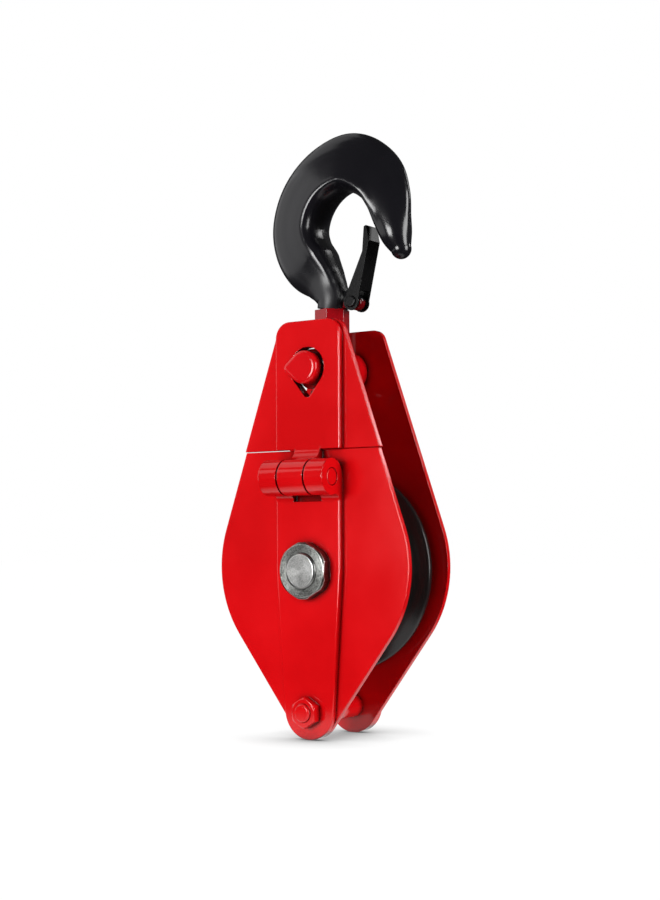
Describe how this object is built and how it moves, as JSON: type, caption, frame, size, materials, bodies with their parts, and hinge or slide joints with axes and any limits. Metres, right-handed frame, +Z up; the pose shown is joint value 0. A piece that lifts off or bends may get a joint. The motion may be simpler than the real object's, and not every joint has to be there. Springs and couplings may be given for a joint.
{
  "type": "opening-side pulley block",
  "caption": "Pulley block with a swivel hook and sprung latch, a grooved sheave between two pear-shaped cheeks, and a hinged gate on one side for laying in a rope.",
  "frame": {"origin": "centre of the sheave, on the axle, halfway between the two cheeks", "axes": "+Z up from the sheave to the hook; +Y along the axle from the gate's side to the closed side; +X towards the hook's open side"},
  "size_m": [0.154, 0.09, 0.4099],
  "materials": {
    "red_paint": "gloss",
    "black_paint": "gloss",
    "sheave_black": "satin",
    "bare_steel": "machined",
    "bronze": "machined"
  },
  "bodies": {
    "hook_body": {"hook": "black_paint", "neck_collar": "red_paint", "swivel_washer": "red_paint", "swivel_nut": "red_paint", "nut_pin": "red_paint", "latch_rivet": "black_paint", "latch_spring": "bare_steel"},
    "latch_body": {"latch": "black_paint"},
    "head_body": {"crosshead": "red_paint", "crosshead_washer": "red_paint", "crosshead_pin": "red_paint"},
    "frame_body": {"rear_cheek": "red_paint", "rear_strap": "red_paint", "front_cheek": "red_paint", "front_strap": "red_paint", "hinge_pin": "red_paint", "axle": "bare_steel", "axle_nut": "bare_steel", "tie_bolt": "red_paint", "tie_nut": "red_paint", "tie_spacer": "red_paint", "front_thrust_washer": "bronze", "rear_thrust_washer": "bronze"},
    "gate_body": {"gate_cheek": "red_paint", "gate_strap": "red_paint"},
    "sheave_body": {"sheave": "sheave_black", "sheave_bush": "bronze"}
  },
  "joints": [
    {"name": "hook_swivel", "type": "hinge", "parent": "hook_body", "child": "head_body", "pos_m": [0, 0, 0.136], "axis": [0, 0, 1], "continuous": true},
    {"name": "frame_swing", "type": "hinge", "parent": "head_body", "child": "frame_body", "pos_m": [0, 0, 0.136], "axis": [0, 1, 0], "range_deg": [-90, 90]},
    {"name": "gate_hinge", "type": "hinge", "parent": "frame_body", "child": "gate_body", "pos_m": [0, -0.0385, 0.062], "axis": [1, 0, 0], "range_deg": [0, 180]},
    {"name": "sheave_spin", "type": "hinge", "parent": "frame_body", "child": "sheave_body", "pos_m": [0, 0, 0], "axis": [0, 1, 0], "continuous": true},
    {"name": "latch_pivot", "type": "hinge", "parent": "hook_body", "child": "latch_body", "pos_m": [0.0204, 0, 0.1815], "axis": [0, -1, 0], "range_deg": [0, 28], "stiffness_Nm_per_rad": 0.05, "springref_deg": -22.92, "deforming": ["latch_spring"]}
  ]
}
